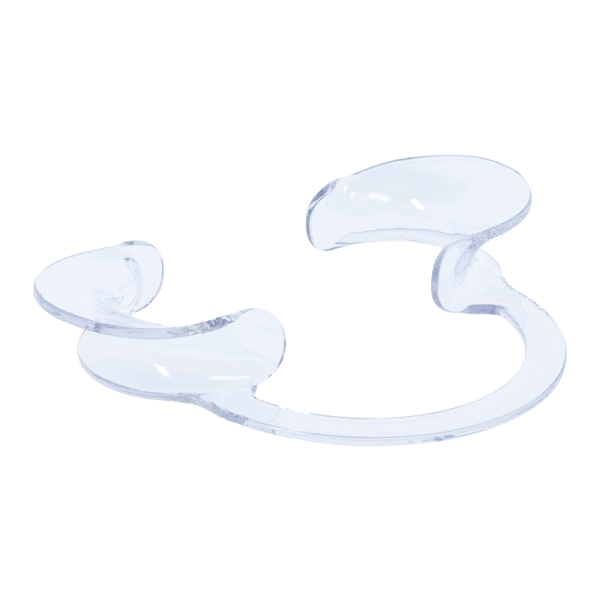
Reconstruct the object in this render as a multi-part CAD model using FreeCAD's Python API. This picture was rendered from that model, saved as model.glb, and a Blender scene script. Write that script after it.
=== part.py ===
import FreeCAD, Part
import math
import os
from FreeCAD import Vector

# A cheek retractor: one clear spring moulding.  A flat bow lies in the XY plane and carries a
# saddle-shaped cup at each end.  +X is to the wearer's left, +Y runs from the bow to the mouth,
# +Z points from the face into the mouth.  The right-hand half (x > 0) is modelled, the other mirrored.

# ---- driving dimensions (mm) ----
WALL = 2.0                 # wall of web, flanges and lobes
BOW_THICK = 1.8            # bow and neck plate
BOW_OUTER_R = 36.3         # bow ring, outer edge, half its width
BOW_INNER_R = 29.1         # bow ring, inner edge, half its width
BOW_STRETCH = 1.042        # length of the ring divided by its width
MOUTH_TO_BOW = 19.75       # from the middle of the mouth to the centre of the bow's ring
MOUTH_Y = 18.8             # middle of the mouth, measured from the origin
BOW_LIFT = 1.05            # underside of the bow above the lowest point of the lobes

# Each cup is a C in plan: two straight tabs joined by a half circle.  centre_x, centre_y, radius.
INNER_RIM = (33.85, 0.05, 18.75)    # edge of the large flange, inside the cheek
OUTER_RIM = (25.1, -0.95, 19.55)    # edge of the small flange, on the skin
WAIST = (21.45, -1.2, 15.9)         # bottom of the groove, at the corner of the mouth
LOBE_TIP_X = 17.2                   # nearest the middle plane

# The lobe planes' y: next to the bow, and away from it.
LOBE_Y_OUTER = (-20.6, 19.1)        # at the small flange's edge
LOBE_Y_WAIST = (-19.75, 18.0)
LOBE_Y_INNER = (-18.05, 16.9)       # at the large flange's edge
# Between these two x the saddle bends into the flat lobe: next to the bow, and away from it.
CREASE_RIM = ((21.0, 30.0), (19.5, 31.0))
CREASE_WAIST = ((17.0, 32.0), (22.3, 25.6))

WAIST_Z = 7.7                # height of the groove's bottom
INNER_RIM_Z = 15.1           # mid-wall height of the large flange's edge at the lobes
INNER_RIM_RISE = 1.25        # how much higher it is at its outermost point
RISE_START_X = 22.0
RISE_LENGTH = 30.0
INNER_RIM_SAG = 0.95         # how much lower it is half way between there and the lobes
SAG_START_Y = 4.0
SAG_LENGTH = 14.0
SAG_FADE = 10.0
OUTER_RIM_Z = 1.1            # mid-wall height of the small flange's edge
LOBE_LIFT_FRONT = 0.3        # how much higher the lobe next to the bow ends
LOBE_DROP_BACK = 1.1         # how much lower the other lobe reaches
TIP_CUT = 0.185              # path fraction over which the lobe's end is rounded
TURN_TOP = (73.5, 33.0)       # degrees the section turns from waist to top edge: in the saddle, in the lobe
TURN_BOTTOM = (82.0, 27.0)    # the same from the waist down

NECK_FILLET_R = 9.3          # outside the neck
NOTCH_WAY = (0.6, -2.2, 0.0)  # way the neck's inner side leaves the lobe
NOTCH_RUN = 3.5               # how far it runs on along the ring

# The wall's section turns from upright at the waist to nearly level at a rim, most of it near the waist.
TURN_EASE_TOP = 1.77         # 1 would be an even arc
TURN_EASE_BOTTOM = 1.32
SECTION_STEPS = 12

# Where the moulding's zones meet, in path fractions s (0 outermost, 1 lobe tip) and height fractions v.
LOBE_S = 0.80
FLANGE_V = 0.50
PATH_STEPS = 44
LOBE_STEPS = 6
HEIGHT_STEPS = 8
LOBE_HEIGHT_STEPS = 20

NECK_START_DEG = -14.0     # end of the bow arm, seen from the ring's centre
ARM_START_DEG = -58.0      # end of the bow's middle piece
NECK_RIM_STEPS = 10
ARC_STEPS = 8
FILLET_FIRST_STEP = 3      # the fillet's first steps run too close to the flange's edge
BOW_FRONT_DEG = -90.0      # the bow's middle, farthest from the mouth
NECK_WEDGE_S = 0.03        # the sliver left out where the fillet and the flange's edge nearly meet
NECK_GAP = 0.05            # clearance between the neck plate and the small flange
STEP = 1e-3                # for slopes of the wall
DEGREE = 3


def smooth(t):
    """0 below 0, 1 above 1, with no corner in between."""
    t = min(1.0, max(0.0, t))
    return t * t * (3.0 - 2.0 * t)


def c_path(rim, s):
    """Point of a C at signed path fraction s: -1 lobe next to the bow, 0 outermost, +1 far lobe."""
    cx, cy, radius = rim
    tab = cx - LOBE_TIP_X
    quarter = radius * math.pi / 2
    run = abs(s) * (quarter + tab)
    side = 1.0 if s >= 0 else -1.0
    angle = min(run / radius, math.pi / 2)
    x = cx + radius * math.cos(angle) - max(0.0, run - quarter)
    return x, cy + side * radius * math.sin(angle)


def path_point(rim, s, lobe_y, creases):
    """Point of a C whose tabs are pulled on to the lobe planes, and its share: 0 saddle, 1 flat lobe."""
    cx, cy, radius = rim
    x, y = c_path(rim, s)
    side = 1 if s >= 0 else 0
    inner_x, outer_x = creases[side]
    share = smooth((outer_x - x) / (outer_x - inner_x))
    arc_y = cy + radius if side else cy - radius
    return x, y + (lobe_y[side] - arc_y) * share, share


def inner_rim(s):
    x, y, share = path_point(INNER_RIM, s, LOBE_Y_INNER, CREASE_RIM)
    rise = INNER_RIM_RISE * smooth((x - RISE_START_X) / RISE_LENGTH)
    sag = INNER_RIM_SAG * smooth((abs(y) - SAG_START_Y) / SAG_LENGTH) * smooth((x - RISE_START_X) / SAG_FADE)
    return Vector(x, y, INNER_RIM_Z + rise - sag), share


def outer_rim(s):
    x, y, share = path_point(OUTER_RIM, s, LOBE_Y_OUTER, CREASE_RIM)
    change = -LOBE_DROP_BACK if s > 0 else LOBE_LIFT_FRONT
    return Vector(x, y, OUTER_RIM_Z + change * share), share


def section_run(end, full, ease):
    """How far out and up a section of unit length has gone at height fraction end."""
    out = 0.0
    up = 0.0
    for i in range(SECTION_STEPS):
        t = end * (i + 0.5) / SECTION_STEPS
        turn = full * (1.0 - (1.0 - t) ** ease)
        out += math.sin(turn) * end / SECTION_STEPS
        up += math.cos(turn) * end / SECTION_STEPS
    return out, up


def mid_point(s, v):
    """Middle of the wall at path fraction s and height fraction v (-1 outer rim, 0 waist, 1 inner rim)."""
    wx, wy, _ = path_point(WAIST, s, LOBE_Y_WAIST, CREASE_WAIST)
    rim, share = inner_rim(s) if v >= 0 else outer_rim(s)
    rim_turn, lobe_turn = TURN_TOP if v >= 0 else TURN_BOTTOM
    ease = TURN_EASE_TOP if v >= 0 else TURN_EASE_BOTTOM
    full = math.radians(rim_turn + (lobe_turn - rim_turn) * share)
    out, up = section_run(abs(v), full, ease)
    whole_out, whole_up = section_run(1.0, full, ease)
    out /= whole_out
    up /= whole_up
    return Vector(wx + (rim.x - wx) * out, wy + (rim.y - wy) * out, WAIST_Z + (rim.z - WAIST_Z) * up)


def normal(s, v):
    """Unit normal on the groove side of the wall."""
    v = min(1.0 - STEP, max(-1.0 + STEP, v))
    along = mid_point(s + STEP, v) - mid_point(s - STEP, v)
    across = mid_point(s, v + STEP) - mid_point(s, v - STEP)
    return along.cross(across).normalize()


def skin_point(s, v, offset):
    """Point of a skin of the wall: the groove side at +WALL / 2, the mouth side at -WALL / 2."""
    p = mid_point(s, v) + normal(s, v) * offset
    return Vector(p.x, p.y + MOUTH_Y, p.z)


def end_s(v):
    """Path fraction of the lobe's rounded end at height fraction v."""
    return 1.0 - TIP_CUT * (1.0 - math.sqrt(max(0.0, 1.0 - v * v)))


def clamped(count):
    """Multiplicities and knots of a clamped cubic spline with this many control points."""
    spans = count - DEGREE
    mults = [DEGREE + 1] + [1] * (spans - 1) + [DEGREE + 1]
    return mults, [float(i) for i in range(spans + 1)]


def smooth_skin(net):
    """Cubic surface whose control points are the net's points."""
    row_mults, row_knots = clamped(len(net))
    column_mults, column_knots = clamped(len(net[0]))
    surface = Part.BSplineSurface()
    surface.buildFromPolesMultsKnots(net, row_mults, column_mults, row_knots, column_knots,
                                     False, False, DEGREE, DEGREE)
    return surface


def boundary(surface):
    u0, u1, v0, v1 = surface.bounds()
    curves = [surface.uIso(u0), surface.uIso(u1), surface.vIso(v0), surface.vIso(v1)]
    return [curve.toShape() for curve in curves]


def wall_solid(s_at, v_list, steps):
    """A closed piece of wall between its groove skin and its mouth skin.

    s_at(t, v) gives the path fraction at share t of the zone's length and height fraction v.
    """
    skins = []
    for offset in (WALL / 2, -WALL / 2):
        net = [[skin_point(s_at(i / steps, v), v, offset) for i in range(steps + 1)] for v in v_list]
        skins.append(smooth_skin(net))
    faces = [surface.toShape() for surface in skins]
    for near, far in zip(boundary(skins[0]), boundary(skins[1])):
        faces.append(Part.makeRuledSurface(near, far))
    shell = Part.Shell(faces)
    shell.sewShape()
    solid = Part.Solid(shell)
    if solid.Volume < 0:
        solid.reverse()
    return solid


def spread(v0, v1, count):
    return [v0 + (v1 - v0) * i / count for i in range(count + 1)]


def middle(t, v):
    return -LOBE_S + 2 * LOBE_S * t


def web():
    return wall_solid(middle, spread(-FLANGE_V, FLANGE_V, HEIGHT_STEPS), PATH_STEPS)


def inner_flange():
    return wall_solid(middle, spread(FLANGE_V, 1.0, HEIGHT_STEPS), PATH_STEPS)


def outer_flange():
    return wall_solid(middle, spread(-1.0, -FLANGE_V, HEIGHT_STEPS), PATH_STEPS)


def lobe(side):
    """A flat D-shaped end; its height fractions are closer together towards the rims."""
    def s_at(t, v):
        return side * (LOBE_S + (end_s(v) - LOBE_S) * t)
    v_list = [-math.cos(math.pi * i / LOBE_HEIGHT_STEPS) for i in range(LOBE_HEIGHT_STEPS + 1)]
    return wall_solid(s_at, v_list, LOBE_STEPS)


def ring_point(radius, degrees):
    """Point of the bow's ring, which is a little longer than it is wide."""
    a = math.radians(degrees)
    y = MOUTH_Y - MOUTH_TO_BOW + BOW_STRETCH * radius * math.sin(a)
    return Vector(radius * math.cos(a), y, BOW_LIFT)


def curve_through(points):
    curve = Part.BSplineCurve()
    curve.interpolate(points)
    return curve.toShape()


def ring_curve(radius, start, end):
    points = [ring_point(radius, start + (end - start) * i / ARC_STEPS) for i in range(ARC_STEPS + 1)]
    return curve_through(points)


def plate(edges):
    face = Part.Face(Part.Wire(Part.__sortEdges__(edges)))
    return face.extrude(Vector(0, 0, BOW_THICK))


def bow_piece(start, end):
    """A stretch of the flat ring between two angles."""
    outer = ring_curve(BOW_OUTER_R, start, end)
    inner = ring_curve(BOW_INNER_R, start, end)
    first = Part.makeLine(ring_point(BOW_OUTER_R, start), ring_point(BOW_INNER_R, start))
    last = Part.makeLine(ring_point(BOW_OUTER_R, end), ring_point(BOW_INNER_R, end))
    return plate([outer, last, inner, first])


def fillet_centre():
    """Centre of the fillet outside the neck, which touches the bow's ring and the small flange's edge."""
    rim_x, rim_y, rim_r = OUTER_RIM
    ring_reach = BOW_OUTER_R + NECK_FILLET_R
    rim_reach = rim_r + NECK_FILLET_R
    dx = rim_x
    dy = rim_y + MOUTH_TO_BOW
    gap = math.hypot(dx, dy)
    along = (ring_reach ** 2 - rim_reach ** 2 + gap ** 2) / (2 * gap)
    aside = math.sqrt(ring_reach ** 2 - along ** 2)
    x = (dx * along + dy * aside) / gap
    y = (dy * along - dx * aside) / gap - MOUTH_TO_BOW
    return x, y


def neck_side(centre, start):
    """The neck's outer side: round the fillet and on along the ring to the bow arm."""
    rim_x, rim_y, _ = OUTER_RIM
    first = math.atan2(rim_y - centre[1], rim_x - centre[0])
    last = math.atan2(-MOUTH_TO_BOW - centre[1], -centre[0])
    turn = (last - first + math.pi) % (2 * math.pi) - math.pi
    points = [start]
    for i in range(FILLET_FIRST_STEP, ARC_STEPS):
        a = first + turn * i / ARC_STEPS
        x = centre[0] + NECK_FILLET_R * math.cos(a)
        y = centre[1] + NECK_FILLET_R * math.sin(a)
        points.append(Vector(x, y + MOUTH_Y, BOW_LIFT))
    touch = math.degrees(math.atan2(centre[1] + MOUTH_TO_BOW, centre[0]))
    points.append(ring_point(BOW_OUTER_R, (touch + NECK_START_DEG) / 2))
    points.append(ring_point(BOW_OUTER_R, NECK_START_DEG))
    return points


def neck():
    """The plate that carries the cup: it leaves the ring and runs into the small flange's edge."""
    centre = fillet_centre()
    rim_x, rim_y, rim_r = OUTER_RIM
    angle = math.atan2(centre[1] - rim_y, centre[0] - rim_x)
    first_s = angle * rim_r / (rim_r * math.pi / 2 + rim_x - LOBE_TIP_X) - NECK_WEDGE_S
    rim = []
    for i in range(NECK_RIM_STEPS + 1):
        s = first_s + (-LOBE_S - first_s) * i / NECK_RIM_STEPS
        edge = skin_point(s, -1.0, WALL / 2)
        inside = skin_point(s, -1.0 + STEP, WALL / 2)
        outward = Vector(edge.x - inside.x, edge.y - inside.y, 0).normalize()
        rim.append(Vector(edge.x, edge.y, BOW_LIFT) + outward * NECK_GAP)
    ring_start = ring_point(BOW_INNER_R, NECK_START_DEG)
    ring_way = (ring_point(BOW_INNER_R, NECK_START_DEG + 1) - ring_start).normalize()
    inner_side = Part.BezierCurve()
    inner_side.setPoles([rim[-1], rim[-1] + Vector(*NOTCH_WAY), ring_start + ring_way * NOTCH_RUN, ring_start])
    outer_side = neck_side(centre, rim[0])
    edges = [
        curve_through(outer_side),
        curve_through(rim),
        inner_side.toShape(),
        Part.makeLine(ring_start, outer_side[-1]),
    ]
    return plate(edges)


def mirrored(shape):
    return shape.mirror(Vector(0, 0, 0), Vector(1, 0, 0))


os.makedirs("parts", exist_ok=True)
half = {
    "web": web(),
    "inner_flange": inner_flange(),
    "outer_flange": outer_flange(),
    "front_lobe": lobe(-1),
    "back_lobe": lobe(1),
    "neck": neck(),
    "bow_arm": bow_piece(ARM_START_DEG, NECK_START_DEG),
    "bow_middle": bow_piece(BOW_FRONT_DEG, ARM_START_DEG),
}
for name, shape in half.items():
    shape.exportStep("parts/right_" + name + ".step")
    mirrored(shape).exportStep("parts/left_" + name + ".step")
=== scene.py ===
import math

import bpy
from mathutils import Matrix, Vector, noise


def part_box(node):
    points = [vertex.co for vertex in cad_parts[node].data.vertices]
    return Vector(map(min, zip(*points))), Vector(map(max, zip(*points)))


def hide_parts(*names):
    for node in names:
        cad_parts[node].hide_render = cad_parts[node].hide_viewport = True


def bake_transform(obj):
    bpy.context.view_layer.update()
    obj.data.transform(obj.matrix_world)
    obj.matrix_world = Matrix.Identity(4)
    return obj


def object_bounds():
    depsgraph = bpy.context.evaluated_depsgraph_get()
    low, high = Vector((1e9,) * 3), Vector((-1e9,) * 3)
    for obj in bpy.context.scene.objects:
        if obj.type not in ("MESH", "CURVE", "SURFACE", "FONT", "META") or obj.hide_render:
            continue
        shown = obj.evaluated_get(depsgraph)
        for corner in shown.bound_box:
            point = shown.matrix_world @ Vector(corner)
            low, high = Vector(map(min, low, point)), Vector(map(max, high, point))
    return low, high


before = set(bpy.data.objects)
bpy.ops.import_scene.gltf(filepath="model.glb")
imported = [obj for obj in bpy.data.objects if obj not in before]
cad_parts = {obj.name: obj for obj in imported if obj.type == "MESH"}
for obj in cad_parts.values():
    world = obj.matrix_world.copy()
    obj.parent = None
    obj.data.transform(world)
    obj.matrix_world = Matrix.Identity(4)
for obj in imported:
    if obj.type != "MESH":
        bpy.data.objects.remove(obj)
cad_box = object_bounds()

# A cheek retractor: one clear plastic moulding.  Its two mirrored halves are one continuous wall, so it is
# one mesh in place of the CAD bodies.  Lengths are in mm unless a comment says metres.
MM = 0.001
NODES = ("web", "inner_flange", "outer_flange", "front_lobe", "back_lobe", "neck", "bow_arm", "bow_middle")

# ---- the shape's driving dimensions, the same as the CAD's ----
WALL = 2.0
BOW_OUTER_R = 36.3
BOW_INNER_R = 29.1
BOW_STRETCH = 1.042
MOUTH_TO_BOW = 19.75
# The cup's three plan curves, the large flange's edge, the small one's and the waist: each has an arc's
# centre x and y, taken from the middle of the mouth, and its radius.
INNER_RIM = (33.85, 0.05, 18.75)
OUTER_RIM = (25.1, -0.95, 19.55)
WAIST = (21.45, -1.2, 15.9)
LOBE_TIP_X = 17.2
# Front, then back: x at which the wall has turned into the flat lobe, and x at which the turn begins.
CREASE_RIM = ((21.0, 30.0), (19.5, 31.0))
CREASE_WAIST = ((17.0, 32.0), (22.3, 25.6))
# Front, then back: y of the flat lobe on each plan curve, from the middle of the mouth.
LOBE_Y_OUTER = (-20.6, 19.1)
LOBE_Y_WAIST = (-19.75, 18.0)
LOBE_Y_INNER = (-18.05, 16.9)
WAIST_Z = 7.7
INNER_RIM_Z = 15.1
INNER_RIM_RISE = 1.25
RISE_START_X = 22.0
RISE_LENGTH = 30.0
INNER_RIM_SAG = 0.95
SAG_START_Y = 4.0
SAG_LENGTH = 14.0
SAG_FADE = 10.0
OUTER_RIM_Z = 1.1
LOBE_LIFT_FRONT = 0.3
LOBE_DROP_BACK = 1.1
TIP_CUT = 0.185        # fraction of a plan curve that the lobe's rounded end takes
# Degrees by which the section turns outwards from the waist, at the cup's middle and at the lobe.
TURN_TOP = (73.5, 33.0)
TURN_BOTTOM = (82.0, 27.0)
TURN_EASE_TOP = 1.77
TURN_EASE_BOTTOM = 1.32
SECTION_STEPS = 12
NECK_CORNER_S = -0.80  # fraction of the small flange's edge at which the notch beside the front lobe is
NECK_START_DEG = -14.0
NECK_FILLET_R = 9.3
RING_END_DEG = -90.0

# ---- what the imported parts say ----
bow_low, bow_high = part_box("right_bow_middle")
BOW_LIFT = bow_low.z / MM
BOW_THICK = (bow_high.z - bow_low.z) / MM
RING_Y = bow_low.y / MM + BOW_OUTER_R * BOW_STRETCH
MOUTH_Y = RING_Y + MOUTH_TO_BOW
BOW_MID_Z = BOW_LIFT + BOW_THICK / 2
RING_CENTRE = Vector((0.0, RING_Y))
RIM_CENTRE = Vector((OUTER_RIM[0], OUTER_RIM[1] + MOUTH_Y))

# ---- the mesh ----
EDGE = 0.65            # how far the rounded edge stands out from the net's last row
SLOPE_STEP = 0.02      # share of the section over which the wall's length at its edge is measured
WAIST_RUN = 27.5       # length of the waist's path in a half cup, for the lobe's end
TIP_REACH = TIP_CUT - EDGE / WAIST_RUN
ROWS_UP = 20
ROWS_DOWN = 12
# Height fractions of the cup's rows, from the small flange's edge (-1) over the waist to the large one's (1).
ETAS = [-1.0 + k / ROWS_DOWN for k in range(ROWS_DOWN)] + [k / ROWS_UP for k in range(ROWS_UP + 1)]
CELL_S = 0.018         # width of the cup's columns, as a fraction of the path
END_COLUMNS = 6
NECK_COLUMNS = 18
NECK_ROWS = 12
RING_ROWS = 36
RING_OUTER_R = BOW_OUTER_R - EDGE
RING_INNER_R = BOW_INNER_R + EDGE
FILLET_STEPS = 24
RING_LEAD_STEPS = 6    # steps of the ring that belong to the neck's outer side
FALL_STEPS = 14        # steps of that side over which it comes down to the bow's level
INNER_SIDE_STEPS = 24
# Handles of the curve along the neck's inner side.
NOTCH_HANDLE = Vector((0.6, -2.2, 0.2))
RING_HANDLE = 3.5
# The moulded blend between the neck and the small flange: its reach, and how strongly it is relaxed.
BLEND_REACH = 4.0
BLEND_ROUNDS = 24
BLEND_PULL = 0.5
NOTCH_PULL = 0.18
WELD = 1e-6            # points nearer than this to the mirror plane are shared by the two halves
# Flow marks on the moulded edge, given for the right half: centre, reach and depth of each patch.
RIPPLE_PATCHES = (
    ((31.0, -0.4, 14.6), 5.5, 0.36),
    ((37.5, 0.5, 1.5), 4.5, 0.26),
    ((35.0, -9.0, 1.9), 6.5, 0.26),
)
# Size of one flow mark along x, y and z.
RIPPLE_LENGTHS = Vector((0.6, 0.6, 0.4))
# Section of a moulded edge: (how far out, share of the half thickness).
EDGE_PROFILE = ((0.44, 0.97), (0.68, 0.72), (0.74, 0.26), (0.74, -0.26), (0.68, -0.72), (0.44, -0.97))

# ---- the studio and the photographer ----
# In metres: half the floor's width, its gap below the part, the distance of the softboxes.
FLOOR_HALF = 0.7
FLOOR_GAP = 0.00005
SOFTBOX_DISTANCE = 0.8
# Sky colours by the sine of the elevation: 0 is the horizon and all below it, 1 is straight up.
SKY_STOPS = (
    (0.0, (1.0, 1.0, 1.0)),
    (0.70, (0.98, 0.985, 1.0)),
    (0.86, (0.44, 0.48, 0.56)),
    (0.94, (0.38, 0.42, 0.50)),
    (1.0, (0.50, 0.54, 0.60)),
)
PHOTOGRAPHER_SIDE = (-0.61, -0.79, 0.0)
# The camera was fitted to the photo: where it looks from, round which point, and how far it stands to the
# right of that point, above it and back from it.
CAMERA_AZIMUTH = math.radians(-37.563)
CAMERA_ELEVATION = math.radians(25.502)
CAMERA_AIM = Vector((0.0, MOUTH_Y, 0.5))
CAMERA_RIGHT = 1.170
CAMERA_UP = 2.178
CAMERA_BACK = 425.0
FOCAL_PIXELS = 2273.05
PHOTO_PIXELS = 600.0
SENSOR = 36.0


def smooth(t):
    t = min(1.0, max(0.0, t))
    return t * t * (3.0 - 2.0 * t)


def c_path(rim, s):
    """Plan path of a C: an arc, then a straight run to the lobe's tip.  s is 0 at its middle, 1 at the tip."""
    cx, cy, radius = rim
    tab = cx - LOBE_TIP_X
    quarter = radius * math.pi / 2
    run = abs(s) * (quarter + tab)
    side = 1.0 if s >= 0 else -1.0
    angle = min(run / radius, math.pi / 2)
    x = cx + radius * math.cos(angle) - max(0.0, run - quarter)
    return x, cy + side * radius * math.sin(angle)


def path_point(rim, s, lobe_y, creases):
    """Point of a plan path, and how far it has turned from the cup's arc (0) into the flat lobe (1)."""
    cx, cy, radius = rim
    x, y = c_path(rim, s)
    side = 1 if s >= 0 else 0
    inner_x, outer_x = creases[side]
    share = smooth((outer_x - x) / (outer_x - inner_x))
    arc_y = cy + radius if side else cy - radius
    return x, y + (lobe_y[side] - arc_y) * share, share


def inner_rim(s):
    x, y, share = path_point(INNER_RIM, s, LOBE_Y_INNER, CREASE_RIM)
    rise = INNER_RIM_RISE * smooth((x - RISE_START_X) / RISE_LENGTH)
    sag = INNER_RIM_SAG * smooth((abs(y) - SAG_START_Y) / SAG_LENGTH) * smooth((x - RISE_START_X) / SAG_FADE)
    return x, y, INNER_RIM_Z + rise - sag, share


def outer_rim(s):
    x, y, share = path_point(OUTER_RIM, s, LOBE_Y_OUTER, CREASE_RIM)
    change = -LOBE_DROP_BACK if s > 0 else LOBE_LIFT_FRONT
    return x, y, OUTER_RIM_Z + change * share, share


def section_run(end, full, ease):
    """How far out and up the section has run at the fraction end of its length, turning by full in all."""
    out = 0.0
    up = 0.0
    for i in range(SECTION_STEPS):
        t = end * (i + 0.5) / SECTION_STEPS
        turn = full * (1.0 - (1.0 - t) ** ease)
        out += math.sin(turn) * end / SECTION_STEPS
        up += math.cos(turn) * end / SECTION_STEPS
    return out, up


def mid_point(s, v):
    """Point in the middle of the cup's wall; v is -1 at the small flange's edge, 1 at the large one's."""
    wx, wy, _ = path_point(WAIST, s, LOBE_Y_WAIST, CREASE_WAIST)
    rx, ry, rz, share = inner_rim(s) if v >= 0 else outer_rim(s)
    rim_turn, lobe_turn = TURN_TOP if v >= 0 else TURN_BOTTOM
    ease = TURN_EASE_TOP if v >= 0 else TURN_EASE_BOTTOM
    full = math.radians(rim_turn + (lobe_turn - rim_turn) * share)
    out, up = section_run(abs(v), full, ease)
    whole_out, whole_up = section_run(1.0, full, ease)
    out /= whole_out
    up /= whole_up
    return Vector((wx + (rx - wx) * out, MOUTH_Y + wy + (ry - wy) * out, WAIST_Z + (rz - WAIST_Z) * up))


def edge_v(s, sign):
    """Height fraction of the net's last row, one EDGE inside the wall's edge."""
    slope = (mid_point(s, sign) - mid_point(s, sign * (1.0 - SLOPE_STEP))).length / SLOPE_STEP
    return 1.0 - EDGE / slope


def on_wall(s, eta):
    sign = 1.0 if eta >= 0 else -1.0
    return mid_point(s, eta * edge_v(s, sign))


class Net:
    """A net of quads in the middle of the wall, with the half thickness at each point."""

    def __init__(self):
        self.points = []
        self.half = []
        self.quads = []

    def add(self, point, half):
        self.points.append(point)
        self.half.append(half)
        return len(self.points) - 1

    def fill(self, grid):
        for a, b in zip(grid, grid[1:]):
            for k in range(len(a) - 1):
                self.quads.append((a[k], a[k + 1], b[k + 1], b[k]))


def fillet_centre():
    """Centre of the fillet outside the neck, which touches the ring and the small flange's edge."""
    rim_x, rim_y, rim_r = OUTER_RIM
    ring_reach = BOW_OUTER_R + NECK_FILLET_R
    rim_reach = rim_r + NECK_FILLET_R
    dx = rim_x
    dy = rim_y + MOUTH_TO_BOW
    gap = math.hypot(dx, dy)
    along = (ring_reach ** 2 - rim_reach ** 2 + gap ** 2) / (2 * gap)
    aside = math.sqrt(ring_reach ** 2 - along ** 2)
    return Vector(((dx * along + dy * aside) / gap, (dy * along - dx * aside) / gap - MOUTH_TO_BOW + MOUTH_Y))


def ring_point(radius, degrees):
    a = math.radians(degrees)
    return Vector((radius * math.cos(a), RING_Y + BOW_STRETCH * radius * math.sin(a), BOW_MID_Z))


def ring_row(degrees):
    """A row of points across the bow, from its outer side to its inner side."""
    width = RING_INNER_R - RING_OUTER_R
    return [ring_point(RING_OUTER_R + width * k / NECK_COLUMNS, degrees) for k in range(NECK_COLUMNS + 1)]


def resample(path, count):
    """count + 1 points evenly spaced along a polyline."""
    lengths = [0.0]
    for a, b in zip(path, path[1:]):
        lengths.append(lengths[-1] + (b - a).length)
    out = []
    k = 0
    for i in range(count + 1):
        want = lengths[-1] * i / count
        while k < len(path) - 2 and lengths[k + 1] < want:
            k += 1
        t = (want - lengths[k]) / (lengths[k + 1] - lengths[k])
        out.append(path[k].lerp(path[k + 1], t))
    return out


def bezier(a, b, c, d, count):
    out = []
    for i in range(count + 1):
        t = i / count
        m = 1.0 - t
        out.append(a * m ** 3 + b * 3 * m * m * t + c * 3 * m * t * t + d * t ** 3)
    return out


def add_cup(net, neck_s):
    """The cup between its two lobe ends, as columns of points; the neck joins the first columns."""
    base = 1.0 - TIP_CUT
    columns = [-base]
    columns += [NECK_CORNER_S + (neck_s - NECK_CORNER_S) * k / NECK_COLUMNS for k in range(NECK_COLUMNS + 1)]
    rest = round((base - neck_s) / CELL_S)
    columns += [neck_s + (base - neck_s) * k / rest for k in range(1, rest + 1)]
    grid = [[net.add(on_wall(s, eta), WALL / 2) for eta in ETAS] for s in columns]
    net.fill(grid)
    return grid


def add_lobe_end(net, side, first):
    """The rounded end of a lobe, from the cup's outermost column to the tip."""
    end = [first]
    for k in range(1, END_COLUMNS + 1):
        xi = k / END_COLUMNS
        column = []
        for eta in ETAS:
            v = eta * math.sqrt(1.0 - xi * xi / 2)
            reach_s = xi * math.sqrt(1.0 - eta * eta / 2)
            column.append(net.add(on_wall(side * (1.0 - TIP_CUT + TIP_REACH * reach_s), v), WALL / 2))
        end.append(column)
    if side < 0:
        end.reverse()
    net.fill(end)


def neck_outer_side(centre, rim_point):
    """The neck's outer side: the fillet from the small flange's edge, then the start of the ring."""
    to_ring = RING_CENTRE - centre
    to_rim = RIM_CENTRE - centre
    from_angle = math.atan2(to_rim.y, to_rim.x)
    to_angle = math.atan2(to_ring.y, to_ring.x)
    turn = (to_angle - from_angle + math.pi) % (2 * math.pi) - math.pi
    r = NECK_FILLET_R + EDGE
    path = []
    for k in range(FILLET_STEPS + 1):
        a = from_angle + turn * k / FILLET_STEPS
        path.append(Vector((centre.x + r * math.cos(a), centre.y + r * math.sin(a), BOW_MID_Z)))
    touch = math.degrees(math.atan2(-to_ring.y, -to_ring.x))
    path += [ring_point(RING_OUTER_R, touch + (NECK_START_DEG - touch) * k / RING_LEAD_STEPS)
             for k in range(1, RING_LEAD_STEPS + 1)]
    for k, p in enumerate(path):
        p.z += (rim_point.z - BOW_MID_Z) * (1.0 - smooth(k / FALL_STEPS))
    path[0] = rim_point.copy()
    return resample(path, NECK_ROWS)


def neck_inner_side(rim_point, ring_start):
    """The neck's inner side, from the notch beside the front lobe to the ring."""
    along_ring = (ring_point(RING_INNER_R, NECK_START_DEG + 1) - ring_start).normalized()
    path = bezier(rim_point, rim_point + NOTCH_HANDLE, ring_start + along_ring * RING_HANDLE, ring_start,
                  INNER_SIDE_STEPS)
    return resample(path, NECK_ROWS)


def add_neck_and_ring(net, rim_ids, centre):
    """The neck, a patch between the small flange's edge and the ring, and the ring to the mirror plane."""
    rim = [net.points[i] for i in rim_ids]
    start = ring_row(NECK_START_DEG)
    outer_side = neck_outer_side(centre, rim[0])
    inner_side = neck_inner_side(rim[-1], start[-1])
    rows = [rim_ids]
    for m in range(1, NECK_ROWS + 1):
        q = m / NECK_ROWS
        half = WALL / 2 + (BOW_THICK - WALL) / 2 * smooth(q)
        row = []
        for k in range(NECK_COLUMNS + 1):
            p = k / NECK_COLUMNS
            point = rim[k].lerp(start[k], q) + outer_side[m].lerp(inner_side[m], p)
            point = point - rim[0].lerp(rim[-1], p).lerp(start[0].lerp(start[-1], p), q)
            row.append(net.add(point, half))
        rows.append(row)
    for n in range(1, RING_ROWS + 1):
        points = ring_row(NECK_START_DEG + (RING_END_DEG - NECK_START_DEG) * n / RING_ROWS)
        if n == RING_ROWS:
            for point in points:
                point.x = 0.0
        rows.append([net.add(point, BOW_THICK / 2) for point in points])
    net.fill([list(reversed(r)) for r in rows])


def half_net():
    """The right half's net: its cup, neck and half of the bow."""
    net = Net()
    centre = fillet_centre()
    reach = centre - RIM_CENTRE
    angle = math.atan2(reach.y, reach.x)
    neck_s = angle * OUTER_RIM[2] / (OUTER_RIM[2] * math.pi / 2 + OUTER_RIM[0] - LOBE_TIP_X)
    grid = add_cup(net, neck_s)
    add_lobe_end(net, -1.0, grid[0])
    add_lobe_end(net, 1.0, grid[-1])
    rim_ids = [grid[1 + k][0] for k in range(NECK_COLUMNS, -1, -1)]
    add_neck_and_ring(net, rim_ids, centre)
    blend_neck(net, rim_ids)
    return net


def boundary_edges(quads):
    """Edges that only one quad has, in the direction in which the quad runs through them."""
    edges = [(a, b) for q in quads for a, b in zip(q, q[1:] + q[:1])]
    known = set(edges)
    return [(a, b) for a, b in edges if (b, a) not in known]


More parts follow.
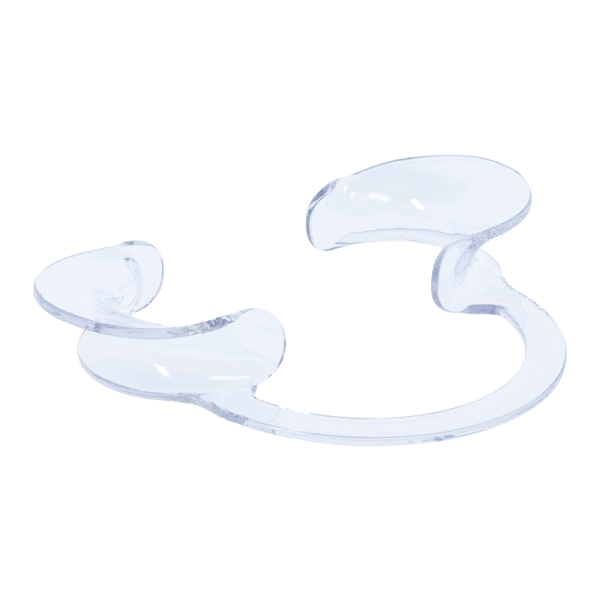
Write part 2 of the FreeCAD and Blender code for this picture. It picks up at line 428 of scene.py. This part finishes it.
def blend_neck(net, rim_ids):
    """Relaxes the net round the line where the neck runs into the small flange, less so at the notch."""
    line = [net.points[i].copy() for i in rim_ids]
    near = {}
    for i, p in enumerate(net.points):
        d = min((p - q).length for q in line)
        if d < BLEND_REACH:
            near[i] = 1.0 - smooth(d / BLEND_REACH)
    around = {i: set() for i in range(len(net.points))}
    for q in net.quads:
        for a, b in zip(q, q[1:] + q[:1]):
            around[a].add(b)
            around[b].add(a)
    edge_next = {}
    for a, b in boundary_edges(net.quads):
        edge_next.setdefault(a, []).append(b)
        edge_next.setdefault(b, []).append(a)
    notch = {i for i in edge_next if (net.points[i] - line[-1]).length < BLEND_REACH}
    for _ in range(BLEND_ROUNDS):
        moved = {}
        for i, w in near.items():
            others = edge_next.get(i) or around[i]
            mean = sum((net.points[j] for j in others), Vector((0, 0, 0))) / len(others)
            moved[i] = net.points[i].lerp(mean, w * (NOTCH_PULL if i in notch else BLEND_PULL))
        for i, p in moved.items():
            net.points[i] = p


def mirrored_net(net):
    """The whole object's net: the half and its mirror image, welded in the middle plane."""
    whole = Net()
    whole.points = [p.copy() for p in net.points]
    whole.half = list(net.half)
    whole.quads = list(net.quads)
    twin = {}
    for i, p in enumerate(net.points):
        if abs(p.x) < WELD:
            twin[i] = i
        else:
            twin[i] = whole.add(Vector((-p.x, p.y, p.z)), net.half[i])
    whole.quads += [tuple(twin[i] for i in reversed(q)) for q in net.quads]
    return whole


def thicken(net):
    """Closed cage: both skins of the wall and its rounded edge."""
    normals = [Vector((0, 0, 0)) for _ in net.points]
    for q in net.quads:
        a, b, c, d = (net.points[i] for i in q)
        n = (c - a).cross(d - b)
        for i in q:
            normals[i] += n
    for n in normals:
        n.normalize()
    count = len(net.points)
    verts = [p + n * h for p, n, h in zip(net.points, normals, net.half)]
    verts += [p - n * h for p, n, h in zip(net.points, normals, net.half)]
    faces = list(net.quads)
    faces += [tuple(i + count for i in reversed(q)) for q in net.quads]
    following = dict(boundary_edges(net.quads))
    before = {b: a for a, b in following.items()}
    rails = {}
    for i in following:
        along = net.points[following[i]] - net.points[before[i]]
        outward = along.cross(normals[i]).normalized()
        rail = [i]
        for out, share in EDGE_PROFILE:
            rail.append(len(verts))
            verts.append(net.points[i] + outward * out + normals[i] * (share * net.half[i]))
        rail.append(i + count)
        rails[i] = rail
    for i, j in following.items():
        for k in range(len(rails[i]) - 1):
            faces.append((rails[i][k], rails[i][k + 1], rails[j][k + 1], rails[j][k]))
    return verts, faces


def new_material(name):
    material = bpy.data.materials.new(name)
    material.use_nodes = True
    return material, material.node_tree.nodes, material.node_tree.links


def clear_plastic():
    """Water-clear plastic with a faint blue cast, a polished mould's finish and slight flow marks."""
    material, nodes, links = new_material("clear_polycarbonate")
    shader = nodes["Principled BSDF"]
    shader.inputs["Base Color"].default_value = (0.826, 0.869, 0.944, 1.0)
    shader.inputs["Transmission Weight"].default_value = 1.0
    shader.inputs["IOR"].default_value = 1.56
    # stands in for the haze below where its nodes can't be followed
    shader.inputs["Roughness"].default_value = 0.02
    absorb = nodes.new("ShaderNodeVolumeAbsorption")
    absorb.inputs["Color"].default_value = (0.37, 0.46, 0.70, 1.0)
    absorb.inputs["Density"].default_value = 12.0
    links.new(absorb.outputs["Volume"], nodes["Material Output"].inputs["Volume"])
    place = nodes.new("ShaderNodeTexCoord")
    flow = nodes.new("ShaderNodeTexNoise")
    flow.inputs["Scale"].default_value = 160.0
    flow.inputs["Detail"].default_value = 2.0
    links.new(place.outputs["Object"], flow.inputs["Vector"])
    haze = nodes.new("ShaderNodeMapRange")
    haze.inputs["To Min"].default_value = 0.005
    haze.inputs["To Max"].default_value = 0.04
    links.new(flow.outputs["Fac"], haze.inputs["Value"])
    links.new(haze.outputs["Result"], shader.inputs["Roughness"])
    bump = nodes.new("ShaderNodeBump")
    bump.inputs["Strength"].default_value = 0.05
    bump.inputs["Distance"].default_value = 0.001
    links.new(flow.outputs["Fac"], bump.inputs["Height"])
    links.new(bump.outputs["Normal"], shader.inputs["Normal"])
    return material


def add_object(name, data):
    thing = bpy.data.objects.new(name, data)
    bpy.context.scene.collection.objects.link(thing)
    return thing


def ripple(mesh):
    """Shallow uneven flow marks on the moulded edge, where the photo shows them."""
    normals = [v.normal.copy() for v in mesh.vertices]
    on_edge = mesh.attributes["edge"].data
    for vertex, normal, share in zip(mesh.vertices, normals, on_edge):
        p = vertex.co / MM
        right_half_p = Vector((abs(p.x), p.y, p.z))
        for centre, reach, depth in RIPPLE_PATCHES:
            away = (right_half_p - Vector(centre)).length / reach
            if away < 1.0:
                wave = noise.noise(Vector(a / b for a, b in zip(p, RIPPLE_LENGTHS)))
                lift = depth * share.value * smooth(2.0 * (1.0 - away)) * wave
                vertex.co += normal * (lift * MM)


def make_retractor():
    """The object's one piece: a cage rounded by subdivision, with flow marks on its edge."""
    net = mirrored_net(half_net())
    verts, faces = thicken(net)
    mesh = bpy.data.meshes.new("retractor_cage")
    mesh.from_pydata([v * MM for v in verts], [], faces)
    mesh.validate()
    edge = mesh.attributes.new("edge", "FLOAT", "POINT")
    for i in range(2 * len(net.points), len(verts)):
        edge.data[i].value = 1.0
    cage = add_object("retractor_cage", mesh)
    rounding = cage.modifiers.new("rounding", "SUBSURF")
    rounding.levels = 2
    rounding.render_levels = 2
    rounding.use_limit_surface = True
    graph = bpy.context.evaluated_depsgraph_get()
    final = bpy.data.meshes.new_from_object(cage.evaluated_get(graph))
    bpy.data.objects.remove(cage)
    final.name = "retractor_moulding"
    ripple(final)
    final.attributes.remove(final.attributes["edge"])
    final.polygons.foreach_set("use_smooth", [True] * len(final.polygons))
    final.materials.clear()
    final.materials.append(clear_plastic())
    return add_object("retractor_moulding", final)


def make_floor():
    """A plain white floor that glows a little, as a lit paper sweep does."""
    mesh = bpy.data.meshes.new("floor")
    z = cad_box[0].z - FLOOR_GAP
    corners = [(x * FLOOR_HALF, y * FLOOR_HALF, z) for x, y in ((-1, -1), (1, -1), (1, 1), (-1, 1))]
    mesh.from_pydata(corners, [], [(0, 1, 2, 3)])
    floor = add_object("floor", mesh)
    material, nodes, _ = new_material("floor_white")
    shader = nodes["Principled BSDF"]
    shader.inputs["Base Color"].default_value = (0.08, 0.08, 0.08, 1.0)
    shader.inputs["Roughness"].default_value = 0.9
    shader.inputs["Specular IOR Level"].default_value = 0.0
    shader.inputs["Emission Color"].default_value = (1.0, 1.0, 1.0, 1.0)
    shader.inputs["Emission Strength"].default_value = 0.97
    mesh.materials.append(material)


def softbox(name, direction, size, power, aim):
    """A rectangular lamp that stands in the given direction from the point aim and faces it."""
    light = bpy.data.lights.new(name, "AREA")
    light.shape = "RECTANGLE"
    light.size, light.size_y = size
    light.energy = power
    lamp = add_object(name, light)
    lamp.location = aim + Vector(direction).normalized() * SOFTBOX_DISTANCE
    lamp.rotation_mode = "QUATERNION"
    lamp.rotation_quaternion = (aim - lamp.location).to_track_quat("-Z", "Y")


def make_world():
    """White round the horizon, grey overhead, and dimmer on the side where the photographer stands."""
    world = bpy.data.worlds.new("studio")
    world.use_nodes = True
    nodes = world.node_tree.nodes
    links = world.node_tree.links
    place = nodes.new("ShaderNodeTexCoord")
    parts = nodes.new("ShaderNodeSeparateXYZ")
    ramp = nodes.new("ShaderNodeValToRGB")
    links.new(place.outputs["Generated"], parts.inputs["Vector"])
    links.new(parts.outputs["Z"], ramp.inputs["Fac"])
    stops = ramp.color_ramp.elements
    stops[0].position, stops[-1].position = SKY_STOPS[0][0], SKY_STOPS[-1][0]
    stops[0].color, stops[-1].color = (*SKY_STOPS[0][1], 1.0), (*SKY_STOPS[-1][1], 1.0)
    for position, colour in SKY_STOPS[1:-1]:
        stops.new(position).color = (*colour, 1.0)
    side = nodes.new("ShaderNodeVectorMath")
    side.operation = "DOT_PRODUCT"
    side.inputs[1].default_value = PHOTOGRAPHER_SIDE
    links.new(place.outputs["Generated"], side.inputs[0])
    dim = nodes.new("ShaderNodeMapRange")
    dim.interpolation_type = "SMOOTHSTEP"
    dim.inputs["From Min"].default_value = 0.1
    dim.inputs["From Max"].default_value = 0.75
    dim.inputs["To Min"].default_value = 1.0
    dim.inputs["To Max"].default_value = 0.65
    links.new(side.outputs["Value"], dim.inputs["Value"])
    shade = nodes.new("ShaderNodeVectorMath")
    shade.operation = "SCALE"
    links.new(ramp.outputs["Color"], shade.inputs[0])
    links.new(dim.outputs["Result"], shade.inputs["Scale"])
    links.new(shade.outputs["Vector"], nodes["Background"].inputs["Color"])
    bpy.context.scene.world = world


def make_camera():
    """The photo's camera.  Returns the point it was fitted round, in metres."""
    sin_az, cos_az = math.sin(CAMERA_AZIMUTH), math.cos(CAMERA_AZIMUTH)
    sin_el, cos_el = math.sin(CAMERA_ELEVATION), math.cos(CAMERA_ELEVATION)
    back = Vector((sin_az * cos_el, -cos_az * cos_el, sin_el))
    right = Vector((cos_az, sin_az, 0.0))
    up = back.cross(right)
    aim = CAMERA_AIM * MM
    data = bpy.data.cameras.new("camera")
    data.sensor_width = SENSOR
    data.lens = FOCAL_PIXELS * SENSOR / PHOTO_PIXELS
    data.clip_start = 0.01
    data.clip_end = 10.0
    camera = add_object("camera", data)
    camera.location = aim + (right * CAMERA_RIGHT + up * CAMERA_UP + back * CAMERA_BACK) * MM
    camera.rotation_mode = "QUATERNION"
    camera.rotation_quaternion = (-back).to_track_quat("-Z", "Y")
    bpy.context.scene.camera = camera
    return aim


retractor = make_retractor()
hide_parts(*[side + "_" + node for side in ("left", "right") for node in NODES])
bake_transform(retractor)
make_floor()
make_world()
centre = make_camera()
softbox("key", direction=(-0.67, 0.0, 0.74), size=(0.11, 0.40), power=0.6, aim=centre)
softbox("fill", direction=(-0.06, -0.48, 0.87), size=(0.36, 0.18), power=0.43, aim=centre)
bpy.context.scene.view_settings.view_transform = "Standard"
# light passes through many clear surfaces in a row
light_paths = bpy.context.scene.cycles
light_paths.max_bounces = 80
light_paths.glossy_bounces = 64
light_paths.transmission_bounces = 64
